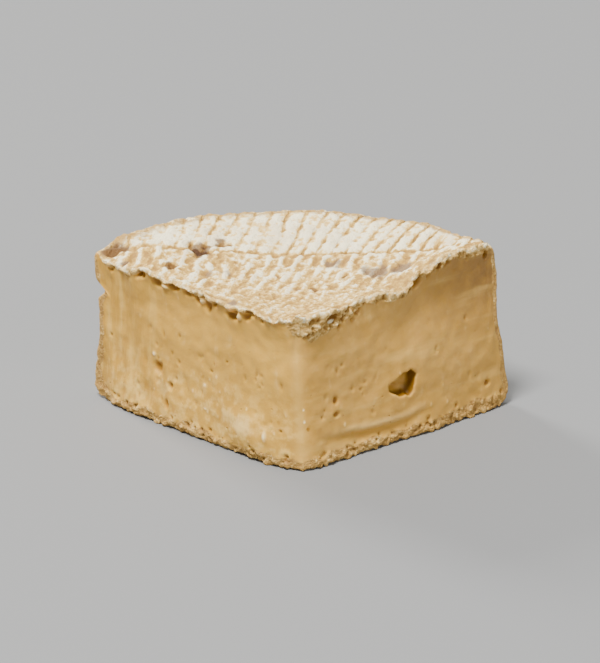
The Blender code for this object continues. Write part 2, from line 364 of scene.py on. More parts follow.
    # The rind on the cut faces, with its thick fringe near the point on the right
    rind: float = mm(1.7)
    foot_rind: float = mm(2.9)
    ragged_line: Lumps = Lumps(mm(3), 0.5, 8)
    top_ramp: tuple = (0.7, 1.2)
    foot_ramp: tuple = (0.6, 1.2)
    side_ramp: tuple = (0.8, 1.3)
    fringe_left: float = 0.66
    fringe_thick: float = 2.1
    fringe_middle: float = mm(5)
    fringe_reach: float = mm(13)
    fringe_ramp: tuple = mm((0.5, 2.5))
    foot_lift: float = mm(0.45)

    # The cut faces: bulging low down, drawn in under the rind, swollen and fluted on the left
    paste_waves: Lumps = Lumps(mm(12), mm(0.8), 6)
    paste_grain: Lumps = Lumps(mm(2.4), mm(0.16), 22)
    left_bulge: float = mm(1.6)
    right_bulge: float = mm(0.3)
    bulge_run: float = mm(10)
    bulge_band: tuple = (0.08, 0.55)
    undercut: float = mm(0.45)
    undercut_band: tuple = (0.80, 0.25)
    swelling: float = mm(0.9)
    swelling_middle: tuple = mm((13, 6))
    swelling_reach: float = mm(7)
    flutes: Lumps = Lumps(mm(3.4), mm(0.8), 12)
    flute_slope: float = 0.12
    flute_ramp: tuple = mm((36, 48))
    # Where the left face's pale glossy smear lies; its paleness is partly a painted highlight
    smear_highlight_middle: tuple = mm((14, 7.2))
    smear_highlight_reach: tuple = mm((8.5, 3.6))

    # The fold along the foot of the right cut face
    fold: tuple = mm(((6, 6.5), (11, 5.9), (17, 5.1), (24, 4.9), (31, 5.5), (40, 6.6)))
    fold_middle: float = mm(19.5)
    fold_reach: float = mm(13.5)
    fold_start_ramp: tuple = mm((-0.3, 0.7))
    fold_end_ramp: tuple = mm((0.6, 3.15))
    fold_depth: float = mm(0.52)
    fold_lip: float = mm(0.15)
    fold_lip_band: tuple = mm((-0.7, 1.3))

    # The round side: wrinkled and creased, spread at its foot, with a waist and a notch
    side_waves: Lumps = Lumps(mm(9), mm(0.9), 11)
    side_wrinkles: Lumps = Lumps(mm(3.2), mm(0.8), 10)
    side_grain: Lumps = Lumps(mm(1.4), mm(0.18), 23)
    wrinkle_slope: float = 0.25
    side_creases: Grains = Grains(mm(12), mm(0.5), 34, 0.22)
    crease_warp: tuple = (Lumps(mm(5), mm(2.4), 35), Lumps(mm(5), mm(2.4), 36))
    crease_slope: float = 0.6
    crease_breaks: Lumps = Lumps(mm(8), 1.0, 37)
    crease_ramp: tuple = (-0.25, 0.2)
    side_spread: float = mm(2.6)
    spread_ramp: tuple = (0.0, 0.75)
    side_waist: float = mm(0.9)
    waist_band: tuple = (0.45, 0.35)
    side_flat: float = mm(1.2)
    flat_from: float = 0.3
    right_lean: float = mm(1.8)
    right_lean_from: float = 0.5
    right_lean_ramp: tuple = (0.3, 0.9)
    left_waist: float = mm(0.8)
    left_waist_from: float = 0.8
    left_waist_band: tuple = (0.56, 0.36)
    notch_depth: float = mm(2.4)
    notch_band: tuple = mm((24.3, 2.4))

    # Where the point's edge and the far top corners are rounded: by radius, height and cut
    edge_ramp: tuple = mm((1.5, 4.5))
    edge_low_ramp: tuple = mm((4, 7))
    edge_high_ramp: tuple = mm((25, 29))
    corner_ramp: tuple = mm((50.5, 54))
    corner_low_ramp: tuple = mm((27, 31))
    corner_cut_ramp: tuple = mm((1, 4))
    corner_softness: float = 0.9
    soft_rounds: int = 14

    # The holes: gas eyes, then pits from the point outwards or under the rind, then pores. A pit's
    # darkness is painted shade in its hollow; a row with a negative depth and darkness is a raised
    # bright fleck instead
    eye_lump: float = 0.35
    eye_lump_scale: float = 1.3
    eyes: tuple = table(
        GasEye,
        (25.7, 12.3, 2.8, 1.7, 2.8, -10, 8.2),
        (27.8, 13.2, 1.6, 2.5, 2.7, -16, 3.3),
        (27.8, 11.2, 1.1, 1.2, 1.9, 0, 12.3),
        (26.3, 13.4, 2.6, 1.5, 2.5, 34, 6.1),
    )
    right_pits: tuple = table(
        Pit,
        (9.6, 13.6, 0.8, 0.9, 1.0, 1.5),
        (9.4, 10.6, 1.1, 0.8, 1.0, 0.7),
        (48.0, 5.9, 0.9, 0.9, 0.9, 0.9),
        (2.1, 9.1, 0.7, 0.5, 1.2),
        (5.9, 10.9, 0.5, 0.3, 0.5, 1.4),
        (16.2, 14.1, 0.6, 0.3, 0.5),
        (43.3, 20.0, 0.7, 0.3, 0.6),
        (9.9, 31.8, 2.3, 1.2, 1.1, 0.6),
        (9.5, 31.4, 1.7, -1.0, -1.2, 0.3),
        (31.6, 32.2, 1.3, 1.3, 1.2),
        (37.0, 32.6, 1.0, 1.0, 1.2),
        (39.0, 32.4, 1.1, 1.2, 1.2, 0.7),
        (49.7, 31.8, 1.4, 1.5, 1.0, 0.7),
        (1.2, 10.8, 0.6, -0.1, -1.7),
        (1.2, 13.5, 0.5, -0.1, -1.6),
    )
    left_pits: tuple = table(
        Pit,
        (37.7, 12.4, 1.7, 0.9, 0.85, 1.2),
        (38.6, 15.2, 0.7, -0.3, -1.5, 1.0),
        (34.0, 9.6, 1.0, 0.8, 0.8, 1.2),
        (32.6, 11.6, 0.6, 0.4, 0.6),
        (31.8, 15.6, 0.6, 0.4, 0.5, 1.5),
        (23.0, 16.5, 0.6, 0.4, 0.5),
        (18.6, 20.0, 0.45, 0.4, 1.0),
        (10.7, 19.4, 0.5, 0.3, 0.6),
        (4.9, 8.3, 0.6, 0.5, 1.0, 0.7),
        (35.1, 5.2, 0.9, 0.8, 0.8, 1.8),
        (31.4, 21.7, 0.5, 0.3, 0.7, 1.4),
        (51.0, 16.3, 0.6, 0.4, 0.8),
        (41.6, 32.8, 0.9, 1.0, 0.8),
        (36.9, 31.9, 2.0, 0.9, 0.9, 0.7),
        (32.4, 32.4, 1.4, 0.8, 0.9, 0.8),
        (28.9, 32.2, 1.3, 0.8, 0.8, 0.8),
        (26.1, 31.9, 1.1, 1.0, 1.2, 1.7),
        (23.7, 31.4, 1.6, 1.0, 0.9, 1.5),
        (25.0, 32.0, 0.9, -0.5, -1.2, 1.4),
        (34.6, 32.0, 1.2, -0.6, -1.2, 0.7),
        (16.6, 31.1, 2.3, 1.2, 1.2, 0.5),
        (16.4, 33.0, 2.0, -1.0, -0.5, 0.7),
        (14.4, 31.6, 0.9, -0.6, -1.2, 1.4),
        (12.6, 31.8, 1.4, 0.8, 1.1, 0.7),
        (8.2, 6.6, 0.7, -0.3, -1.25, 2.8),
        (41.0, 6.2, 3.2, 0.5, 0.34, 1.3),
        (36.4, 8.0, 2.6, 0.4, 0.30, 1.9),
        (49.4, 13.0, 2.2, 0.4, 0.34, 2.4),
        (30.2, 11.5, 1.6, 0.2, 0.26, 2.0),
        (24.7, 12.9, 0.5, -0.1, -1.6),
        (24.6, 7.7, 0.7, -0.1, -1.6, 0.6),
    )
    pore_seed: int = 71
    pores: tuple = (
        Pores((50, 0), (4, 46), (4.5, 21), (0.35, 0.75), (0.1, 0.6), 0, 0, (0.1, 0.32), (0.8, 2.0)),
        Pores((0, 16), (4, 46), (4.5, 22), (0.35, 0.75), (0.1, 0.6), 0, 0, (0.1, 0.32), (0.8, 2.0)),
        Pores((18, 18), (3, 50), (33.3, 32.0), (0.5, 1.0), (0.5, 1.1), 1.0),
        Pores((0, 34), (1.5, 17), (33.2, 29.4), (0.4, 0.75), (0.4, 1.0), 0.7),
        # Glints: small raised flecks on the paste, painted pale as highlights
        Pores((30, 6), (3, 40), (4.5, 17), (0.35, 0.55), (-0.3, -0.9), -0.22, 1.6),
        Pores((34, 34), (3, 53), (0.8, 3.4), (0.4, 0.75), (0.3, 0.9), 0.8),
    )

    # How the finish's measures run, and how far around a point its surroundings are smoothed
    top_depth_ramp: tuple = mm((-2.5, -0.5))
    outside_cut_ramp: tuple = mm((0.15, 0.9))
    outside_ramp: tuple = mm((0.5, 1.5))
    eye_ramp: tuple = mm((1, 3))
    cut_edge_ramp: tuple = mm((0.3, 2.2))
    leftward_ramp: tuple = mm((-5, 5))
    crest_rounds: int = 6
    crest_ramp: tuple = mm((0.3, 2))
    ridge_rounds: int = 45
    ridge_ramp: tuple = mm((0.8, 3.5))

    def build(self) -> Thing:
        """Makes the finished wedge in the frame's box.

        Returns:
            The wedge, with the measures that its finish reads.
        """
        wedge = self.blank()
        self.cut_eyes(wedge)
        self.even_skin(wedge)
        self.settle_shape(wedge)
        self.move_to_frame(wedge)
        wedge.data.shade_smooth()
        log.info("the wedge has %d faces", len(wedge.data.polygons))
        return wedge

    def half_section(self) -> list:
        """Lays out the wheel's half section, with rounded shoulders.

        Returns:
            Its points, as pairs of radius and height.
        """
        points = [(0.0, 0.0)]
        for middle, start in ((self.shoulder, -90), (self.rim_height - self.shoulder, 0)):
            for step in range(self.shoulder_steps + 1):
                angle = math.radians(start + 90 * step / self.shoulder_steps)
                out = self.radius - self.shoulder + self.shoulder * math.cos(angle)
                points.append((out, middle + self.shoulder * math.sin(angle)))
        points.append((0.0, self.rim_height))
        return points

    def blank(self) -> Thing:
        """Spins the half section into a sharp-edged sector.

        Returns:
            The sector, with its point at the origin.
        """
        sector = bmesh.new()
        start = Matrix.Rotation(-self.half_angle, 4, "Z")
        corners = [sector.verts.new(start @ Vector((0.0, r, z))) for r, z in self.half_section()]
        section = sector.faces.new(corners)
        bmesh.ops.spin(
            sector,
            geom=[*section.verts, *section.edges, section],
            cent=(0.0, 0.0, 0.0),
            axis=(0.0, 0.0, 1.0),
            angle=2 * self.half_angle,
            steps=self.spin_steps,
        )
        bmesh.ops.remove_doubles(sector, verts=sector.verts, dist=self.weld)
        bmesh.ops.recalc_face_normals(sector, faces=sector.faces)
        return new_object("cheese_wedge", sector)

    def directions(self, side: Side) -> tuple:
        """Gives a cut face's direction away from the point and its outward normal."""
        across, ahead = side.value * math.sin(self.half_angle), math.cos(self.half_angle)
        return Vector((across, ahead, 0.0)), Vector((side.value * ahead, -abs(across), 0.0))

    def eye_cutter(self, eye: GasEye) -> Thing:
        """Makes the lumpy egg that cuts one gas eye. Its turn lifts the end away from the point.

        Args:
            eye: The gas eye.

        Returns:
            The egg, in its place in the blank.
        """
        away, outward = self.directions(Side.RIGHT)
        egg = bmesh.new()
        bmesh.ops.create_icosphere(egg, subdivisions=4, radius=1.0)
        offset = Vector((eye.seed, 0.0, 0.0))
        for vertex in egg.verts:
            lump = noise.noise(self.eye_lump_scale * vertex.co + offset)
            vertex.co *= 1.0 + self.eye_lump * lump
        place = Matrix.Translation(away * eye.distance + Vector((0.0, 0.0, eye.height)))
        facing = Vector((0.0, 1.0, 0.0)).rotation_difference(outward).to_matrix().to_4x4()
        turn = Matrix.Rotation(math.radians(eye.turn), 4, "Y")
        size = Matrix.Diagonal((eye.half_width, eye.depth, eye.half_height, 1.0))
        egg.transform(place @ facing @ turn @ size)
        return new_object("eye_cutter", egg)

    def cut_eyes(self, wedge: Thing) -> None:
        """Cuts every gas eye out of the blank and leaves no cutter behind.

        Args:
            wedge: The blank.
        """
        cutters = [self.eye_cutter(eye) for eye in self.eyes]
        for cutter in cutters:
            cut = wedge.modifiers.new("eye", "BOOLEAN")
            cut.operation = "DIFFERENCE"
            cut.object = cutter
        apply_modifiers(wedge)
        for cutter in cutters:
            bpy.data.objects.remove(cutter, do_unlink=True)

    def even_skin(self, wedge: Thing) -> None:
        """Gives the blank an even skin of small faces.

        Args:
            wedge: The blank.
        """
        skin = wedge.modifiers.new("even faces", "REMESH")
        skin.mode = "VOXEL"
        skin.voxel_size = self.face_size
        apply_modifiers(wedge)

    def outer_band(self, points: Array) -> Array:
        """Gives 1 between the cross mark and the rim and 0 further in."""
        beyond = points[:, 1] - self.cross_mark
        return soft_step(beyond, -self.cross_width, self.cross_width)

    def front(self, points: Array) -> Array:
        """Gives 1 on the third of the top nearest the point, fading to 0 towards the cross mark."""
        return 1 - soft_step(points[:, 1] - self.cross_mark, *self.front_ramp)

    def across_ribs(self, points: Array) -> Array:
        """Counts the rib pitches across the rack's marks.

        Args:
            points: Places on the blank.

        Returns:
            How many pitches each lies off the middle rib.
        """
        ripple = self.rack_ripple.at(points) * (1 - self.ripple_loss * self.outer_band(points))
        x = points[:, 0] + self.rack_wander.at(points) + ripple
        turn = self.rack_turn + self.rack_fan * x / MM
        return (x - (points[:, 1] - self.rack_middle) * np.tan(turn)) / self.rib_pitch

    def rack_marks(self, points: Array) -> Array:
        """Shapes the ribs: broad with grooves at the rim, thin crests further in.

        Args:
            points: Places on the blank.

        Returns:
            Their height where they are clear.
        """
        across = self.across_ribs(points)
        outer = self.outer_band(points)
        off_line = np.abs((across + 0.5) % 1.0 - 0.5)
        line = np.exp(-((off_line / (self.rib_width - self.rib_narrowing * outer)) ** 2))
        cross = np.exp(-(((points[:, 1] - self.cross_mark) / self.cross_width) ** 2))
        rounded = self.rib_round * np.cos(2 * math.pi * across) * (1 - 2 * outer)
        ribs = self.rib_depth * line * (1 - self.rib_turnover * outer)
        return ribs + rounded - self.cross_depth * cross

    def mark_strength(self, points: Array) -> Array:
        """Finds where the rack's marks are worn away.

        Args:
            points: Places on the blank.

        Returns:
            How clear the marks are, from 0 to 1.
        """
        clear = soft_step(self.rack_wear.at(points), *self.wear_ramp)
        whole = soft_step(self.rib_breaks.at(points), *self.break_ramp)
        inner, outer = (
            even + by_wear * clear + by_break * whole
            for even, by_wear, by_break in (self.inner_marks, self.outer_marks)
        )
        bare = hump(off_middle(points.T, self.bare_middle, self.bare_reach), 0.0, 1.0)
        band = self.outer_band(points)
        kept = (1 - self.front_loss * self.front(points)) * (1 - self.bare_loss * bare)
        return (inner * (1 - band) + outer * band) * kept

    def dent_place(self, points: Array) -> tuple:
        """Gives where each point lies for the dents, warped to make their borders uneven."""
        return tuple(points[:, axis] + warp.at(points) for axis, warp in enumerate(self.dent_warp))

    def top_relief(self, points: Array, cut_distance: Array) -> Array:
        """Shapes the top rind.

        Args:
            points: Places on the blank's top.
            cut_distance: How far they are from the nearer cut face.

        Returns:
            How far the rind stands above the blank.
        """
        relief = self.rack_marks(points) * self.mark_strength(points)
        for lumps in (self.top_waves, self.top_grain, self.top_specks):
            relief += lumps.at(points)
        fine = self.fine_crumbs.at(points)
        rough = 1 - soft_step(points[:, 1] - self.cross_mark, *self.rough_ramp)
        rough *= self.rough_share + self.rough_front * self.front(points)
        relief += rough * (fine - self.fine_crumbs.height / 2)
        place = self.dent_place(points)
        for dent in self.dents:
            relief -= dent.depth * dent.nearness(*place)
        crumbs = self.top_crumbs.at(points) - self.top_crumbs.height / 2 + self.fine_share * fine
        edge = hump(cut_distance, 0.0, 2 * self.rind)
        return relief + edge * (crumbs + self.lip_waves.at(points))

    def sinking(self, radius: Array, distances: dict) -> Array:
        """Lowers the top towards the point and lifts or drops it along each cut.

        Args:
            radius: How far each point is from the wheel's middle.
            distances: How deep it is under each cut face.

        Returns:
            How far the top stands off the rim's height.
        """
        low, high = self.sink_ramp
        fall = self.rim_height - self.point_height
        height = -fall * (1 - soft_step(radius, low * self.radius, high * self.radius))
        for side, reach, edge in (
            (Side.LEFT, self.left_edge_reach, self.left_edge),
            (Side.RIGHT, self.right_edge_reach, self.right_edge),
        ):
            height += (1 - soft_step(distances[side], 0.0, reach)) * follow(radius, edge)
        return height

    def fold_bands(self, points: Array, along: Array) -> tuple:
        """Finds the fold of the right cut face.

        Args:
            points: Places on that face.
            along: How far they are from the wedge's point.

        Returns:
            How far they lie in the fold's shaded band, and how far on its lip; the finish paints the
            band as shade and the lip as a highlight.
        """
        below = follow(along, self.fold) - points[:, 2]
        reach = hump(along, self.fold_middle, self.fold_reach) ** 0.5
        shade = soft_step(below, *self.fold_start_ramp) * (1 - soft_step(below, *self.fold_end_ramp))
        return shade * reach, hump(below, *self.fold_lip_band) * reach

    def all_pits(self, side: Side) -> list:
        """Gathers the pits of a cut face.

        Args:
            side: The cut face.

        Returns:
            Its named pits and its scattered pores.
        """
        draw = random.Random(self.pore_seed + side.value)
        found = list(self.left_pits if side is Side.LEFT else self.right_pits)
        for kind in self.pores:
            found += kind.scatter(side, draw)
        return found

    def paste_relief(self, points: Array, side: Side, along: Array) -> Array:
        """Shapes a cut face: slumped below and drawn in under the rind.

        Args:
            points: Places on the blank's cut face.
            side: Which face it is.
            along: How far they are from the wedge's point.

        Returns:
            How far the face stands out of the blank.
        """
        height = points[:, 2]
        up = height / self.rim_height
        bulge = self.left_bulge if side is Side.LEFT else self.right_bulge
        nearest_end = np.minimum(along, self.radius - along)
        relief = bulge * soft_step(nearest_end, 0.0, self.bulge_run) * hump(up, *self.bulge_band)
        relief -= self.undercut * hump(up, *self.undercut_band)
        relief += self.paste_waves.at(points) + self.paste_grain.at(points)
        if side is Side.RIGHT:
            shade, lip = self.fold_bands(points, along)
            relief += self.fold_lip * lip - self.fold_depth * shade
        else:
            reach = (self.swelling_reach, self.swelling_reach)
            swollen = off_middle((along, height), self.swelling_middle, reach)
            upright = np.stack([along, self.flute_slope * height, 0 * height], 1)
            relief += self.swelling * hump(swollen, 0.0, 1.0)
            relief += self.flutes.at(upright) * soft_step(along, *self.flute_ramp)
        relief += soft_step(along, 0.0, self.point_reach) * self.rind_crumbs(points)
        for pit in self.all_pits(side):
            relief -= pit.depth * pit.nearness(along, height)
        return relief

    def rind_bands(self, points: Array) -> tuple:
        """Finds the rind on the cut faces, along ragged lines.

        Args:
            points: Places on the blank.

        Returns:
            How far they lie in the rind under the top, and how far in the rind at the foot.
        """
        ragged = self.ragged_line.at(points)
        away, outward = map(np.array, self.directions(Side.RIGHT))
        on_right = 1 - soft_step(-(points @ outward), *self.fringe_ramp)
        thick = self.fringe_thick * hump(points @ away, self.fringe_middle, self.fringe_reach)
        fringe = self.fringe_left + (1 - self.fringe_left + thick) * on_right
        from_top = (self.rim_height - points[:, 2]) / (self.rind * fringe) - ragged
        from_foot = points[:, 2] / self.foot_rind - ragged
        return 1 - soft_step(from_top, *self.top_ramp), 1 - soft_step(from_foot, *self.foot_ramp)

    def rind_crumbs(self, points: Array) -> Array:
        """Shapes the crumbly rind on the cut faces.

        Args:
            points: Places on the blank.

        Returns:
            How far the rind stands out.
        """
        at_top, at_foot = self.rind_bands(points)
        fine = self.fine_crumbs.at(points)
        crumbs = at_top * (self.top_crumbs.at(points) + fine)
        return crumbs + at_foot * (self.foot_crumbs.at(points) + self.fine_share * fine)

    def side_relief(self, points: Array, bearing: Array) -> Array:
        """Shapes the round side: upright wrinkles, creases, a waist and a wide foot.

        Args:
            points: Places on the blank's side.
            bearing: Their angle from the middle, growing to the right.

        Returns:
            How far the side stands out of the blank.
        """
        height = points[:, 2]
        up = height / self.rim_height
        rim = bearing * self.radius
        upright = np.stack([rim, self.wrinkle_slope * height, 0 * height], 1)
        relief = self.side_wrinkles.at(upright)
        relief += self.side_waves.at(points) + self.side_grain.at(points)
        round_rim, upward = (warp.at(points) for warp in self.crease_warp)
        place = np.stack([rim + round_rim, self.crease_slope * height + upward, 0 * height], 1)
        creases = self.side_creases.height - self.side_creases.at(place)
        relief -= creases * soft_step(self.crease_breaks.at(points), *self.crease_ramp)
        sideways = bearing / self.half_angle
        spread = 1 - soft_step(up, *self.spread_ramp)
        relief += self.side_spread * (0.5 - 0.5 * sideways) * spread
        relief -= self.side_waist * hump(up, *self.waist_band)
        relief -= self.side_flat * soft_step(sideways, self.flat_from, 1.0)
        right_end = soft_step(sideways, self.right_lean_from, 1.0)
        relief -= self.right_lean * right_end * soft_step(up, *self.right_lean_ramp)
        left_end = soft_step(-sideways, self.left_waist_from, 1.0)
        relief -= self.left_waist * left_end * hump(up, *self.left_waist_band)
        return relief - self.notch_depth * left_end * hump(height, *self.notch_band)

    def settle_shape(self, wedge: Thing) -> None:
        """Moves the even skin's points to make the settled, ribbed and crumbly cheese.

        Args:
            wedge: The blank with its even skin.
        """
        rest = mesh_points(wedge.data)
        radius = np.hypot(rest[:, 0], rest[:, 1])
        distances = {side: -(rest @ np.array(self.directions(side)[1])) for side in Side}
        cut_distance = np.minimum(*distances.values())
        moved = rest.copy()
        self.push_cut_faces(rest, moved, distances)
        self.push_side(rest, moved, radius)
        self.push_top(rest, moved, cut_distance)
        up = rest[:, 2] / self.rim_height
        moved[:, 2] += self.sinking(radius, distances) * up
        moved[:, 1] += self.point_wear * np.clip(1 - radius / self.point_reach, 0.0, 1.0) ** 2
        moved[:, 0] -= self.lean * up
        self.lift_foot(rest, moved, cut_distance)
        soft = self.rounding(rest, radius, cut_distance)
        moved += (smoothed(wedge.data, moved, self.soft_rounds) - moved) * soft[:, None]
        set_mesh_points(wedge.data, moved)
        self.measure(wedge, rest, distances)

    def push_cut_faces(self, rest: Array, moved: Array, distances: dict) -> None:
        """Moves the skin of both cut faces in or out.

        Args:
            rest: Where the points are on the blank.
            moved: Where they have moved, which is changed.
            distances: How deep they are under each cut face.
        """
        for side, depth in distances.items():
            away, outward = map(np.array, self.directions(side))
            near = depth < self.skin
            relief = self.paste_relief(rest[near], side, rest[near] @ away)
            relief *= 1 - soft_step(depth[near], 0.0, self.skin)
            moved[near] += np.outer(relief, outward)

    def push_side(self, rest: Array, moved: Array, radius: Array) -> None:
        """Moves the skin of the round side in or out.

        Args:
            rest: Where the points are on the blank.
            moved: Where they have moved, which is changed.
            radius: How far they are from the wheel's middle.
        """
        near = self.radius - radius < self.side_skin
        bearing = np.arctan2(rest[near, 0], rest[near, 1])
        relief = self.side_relief(rest[near], bearing)
        relief *= 1 - soft_step(self.radius - radius[near], 0.0, self.side_skin)
        moved[near, 0] += relief * np.sin(bearing)
        moved[near, 1] += relief * np.cos(bearing)

    def push_top(self, rest: Array, moved: Array, cut_distance: Array) -> None:
        """Moves the skin of the top up or down.

        Args:
            rest: Where the points are on the blank.
            moved: Where they have moved, which is changed.
            cut_distance: How far they are from the nearer cut face.
        """
        depth = self.rim_height - rest[:, 2]
        near = depth < self.skin
        relief = self.top_relief(rest[near], cut_distance[near])
        moved[near, 2] += relief * (1 - soft_step(depth[near], 0.0, self.skin))

    def lift_foot(self, rest: Array, moved: Array, cut_distance: Array) -> None:
        """Lifts the cracks between the foot's crumbs a little off the floor.

        Args:
            rest: Where the points are on the blank.
            moved: Where they have moved, which is changed.
            cut_distance: How far they are from the nearer cut face.
        """
        size = self.foot_crumbs.size
        near = (rest[:, 2] < self.skin) & (cut_distance < size)
        cracks = 1 - self.foot_crumbs.at(rest[near]) / self.foot_crumbs.height
        lift = self.foot_lift * (1 - soft_step(rest[near, 2], 0.0, self.skin)) * cracks
        moved[near, 2] += lift * hump(cut_distance[near], 0.0, size)

    def rounding(self, rest: Array, radius: Array, cut_distance: Array) -> Array:
        """Finds the edge at the point and the far top corners, which are soft.

        Args:
            rest: Where the points are on the blank.
            radius: How far they are from the wheel's middle.
            cut_distance: How far they are from the nearer cut face.

        Returns:
            How much each point is smoothed, from 0 to 1.
        """
        height = rest[:, 2]
        edge = soft_step(height, *self.edge_low_ramp) * (1 - soft_step(radius, *self.edge_ramp))
        edge *= 1 - soft_step(height, *self.edge_high_ramp)
        corner = soft_step(radius, *self.corner_ramp) * soft_step(height, *self.corner_low_ramp)
        corner *= 1 - soft_step(cut_distance, *self.corner_cut_ramp)
        return np.maximum(edge, self.corner_softness * corner)

    def pit_marks(self, rest: Array, distances: dict) -> tuple:
        """Finds the pits and the bright flecks.

        Args:
            rest: Where the points are on the blank.
            distances: How deep they are under each cut face.

        Returns:
            How dark each point is as part of a pit, which is painted shade in the hollow, and how
            bright as part of a fleck (white flakes of rind, and glints painted on the paste as
            highlights).
        """
        pits, flakes_and_glints = np.zeros(len(rest)), np.zeros(len(rest))
        for side, depth in distances.items():
            near = np.flatnonzero(depth < self.skin)
            along = rest[near] @ np.array(self.directions(side)[0])
            for pit in self.all_pits(side):
                darkness = pit.dark * pit.nearness(along, rest[near, 2])
                pits[near] = np.maximum(pits[near], darkness)
                flakes_and_glints[near] = np.maximum(flakes_and_glints[near], -darkness)
        return pits * (1 - flakes_and_glints.clip(0.0, 1.0)), flakes_and_glints

    def measure(self, wedge: Thing, rest: Array, distances: dict) -> None:
        """Stores on the mesh what the finish needs to know at each point.

        Args:
            wedge: The settled wedge.
            rest: Where its points were on the blank.
            distances: How deep they were under each cut face.
        """
        x, y, z = rest.T
        radius = np.hypot(x, y)
        left, right = distances[Side.LEFT], distances[Side.RIGHT]
        cut_distance = np.minimum(left, right)
        at_top, at_foot = self.rind_bands(rest)
        from_side = (self.radius - radius) / self.rind - self.ragged_line.at(rest)
        at_side = 1 - soft_step(from_side, *self.side_ramp)
        buried = np.minimum(np.minimum(self.rim_height - z, z), self.radius - radius)
        off_edges = np.maximum(cut_distance, buried)
        outside = soft_step(cut_distance, *self.outside_cut_ramp)
        outside *= 1 - soft_step(buried, *self.outside_ramp)
        on_top = soft_step(z - self.rim_height, *self.top_depth_ramp)
        place = self.dent_place(rest)
        nearness = [dent.nearness(*place) for dent in self.dents]
        brown = np.max([dent.brown * near for dent, near in zip(self.dents, nearness)], 0)
        grey = np.max([dent.grey * near for dent, near in zip(self.dents, nearness)], 0)
        pits, flakes_and_glints = self.pit_marks(rest, distances)
        on_left, on_right = (1 - soft_step(depth, 0.0, self.skin) for depth in (left, right))
        along_left, along_right = (rest @ np.array(self.directions(side)[0]) for side in Side)
        shade, lip = self.fold_bands(rest, along_right)
        off_smear_highlight = off_middle((along_left, z), self.smear_highlight_middle, self.smear_highlight_reach)
        crest = stands_out(wedge.data, self.crest_rounds) / MM
        ridge = stands_out(wedge.data, self.ridge_rounds) / MM
        measures = {
            "rind": np.maximum(np.maximum(at_top, at_foot), np.maximum(at_side, outside)),
            "outside": outside,
            "eye": cut_distance / MM * soft_step(buried, *self.eye_ramp),
            "across": self.across_ribs(rest),
            "marks": self.mark_strength(rest),
            "beyond": (y - self.cross_mark) / MM,
            "top": on_top,
            "foot": at_foot * (1 - outside),
            "brown": brown * on_top,
            "grey": grey * on_top,
            # The fold's band and lip, which the paste paints as shade and as a highlight
            "fold": shade * on_right,
            "lip": lip * on_right,
            "pit": pits,
            "flake_and_glint": flakes_and_glints,
            "smear_and_highlight": hump(off_smear_highlight, 0.0, 1.0) * on_left,
            "edge": 1 - soft_step(cut_distance, *self.cut_edge_ramp),
            "high": (self.rim_height - z) / MM,
            "rimward": radius / self.radius,
            "leftward": soft_step(right - left, *self.leftward_ramp),
            "crest": crest * soft_step(off_edges, *self.crest_ramp),
            "ridge": ridge * soft_step(off_edges, *self.ridge_ramp),
        }
        for name, values in measures.items():
            layer = wedge.data.attributes.new(name, "FLOAT", "POINT")
            layer.data.foreach_set("value", values.astype(np.float32))

    def move_to_frame(self, wedge: Thing) -> None:
        """Moves the wedge under the frame's own box and makes its resting face truly flat.

        Args:
            wedge: The settled wedge.
        """
        low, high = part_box(NODE)
        points = mesh_points(wedge.data)
        middle = (points.min(0) + points.max(0)) / 2
        points[:, 0] += (low.x + high.x) / 2 - middle[0]
        points[:, 1] += (low.y + high.y) / 2 - middle[1]
        points[:, 2] = np.where(points[:, 2] < self.resting, low.z, points[:, 2])
        points = np.clip(points, np.array(low), np.array(high))
        set_mesh_points(wedge.data, points)


def off_middle(place: tuple | Array, middle: tuple, reach: tuple) -> Array:
    """Gives how far a flat place is off a middle, in shares of the reach each way."""
    return np.hypot(*((place[axis] - middle[axis]) / reach[axis] for axis in (0, 1)))


def new_object(name: str, shape: bmesh.types.BMesh) -> Thing:
    """Turns a bmesh into an object at the origin.

    Args:
        name: The object's name.
        shape: The bmesh, which is freed.

    Returns:
        The new object, in the scene.
    """
    mesh = bpy.data.meshes.new(name)
    shape.to_mesh(mesh)
    shape.free()
    made = bpy.data.objects.new(name, mesh)
    bpy.context.scene.collection.objects.link(made)
    return made


def apply_modifiers(thing: Thing) -> None:
    """Replaces an object's mesh by what its modifiers make of it.

    Args:
        thing: The object.
    """
    graph = bpy.context.evaluated_depsgraph_get()
    made = bpy.data.meshes.new_from_object(thing.evaluated_get(graph))
    thing.modifiers.clear()
    thing.data = made


def mesh_points(mesh: bpy.types.Mesh) -> Array:
    """Reads a mesh's points.

    Args:
        mesh: The mesh.

    Returns:
        One row for each point.
    """
    points = np.empty(3 * len(mesh.vertices), np.float32)
    mesh.vertices.foreach_get("co", points)
    return points.reshape(-1, 3).astype(float)


def set_mesh_points(mesh: bpy.types.Mesh, points: Array) -> None:
    """Moves a mesh's points to the rows of an array."""
    mesh.vertices.foreach_set("co", points.astype(np.float32).ravel())
    mesh.update()


def smoothed(mesh: bpy.types.Mesh, points: Array, rounds: int) -> Array:
    """Moves each point to the middle of its neighbours, over and over.

    Args:
        mesh: The mesh whose edges tell which points are neighbours.
        points: Where its points are.
        rounds: How often they are moved.

    Returns:
        The smoothed points.
    """
    count = len(points)
    edges = np.empty(2 * len(mesh.edges), np.int32)
    mesh.edges.foreach_get("vertices", edges)
    first, second = edges.reshape(-1, 2).T
    neighbours = np.bincount(edges, minlength=count)[:, None]
    for _ in range(rounds):
        totals = [
            np.bincount(first, column[second], count) + np.bincount(second, column[first], count)
            for column in points.T
        ]
        points = np.stack(totals, 1) / neighbours
    return points


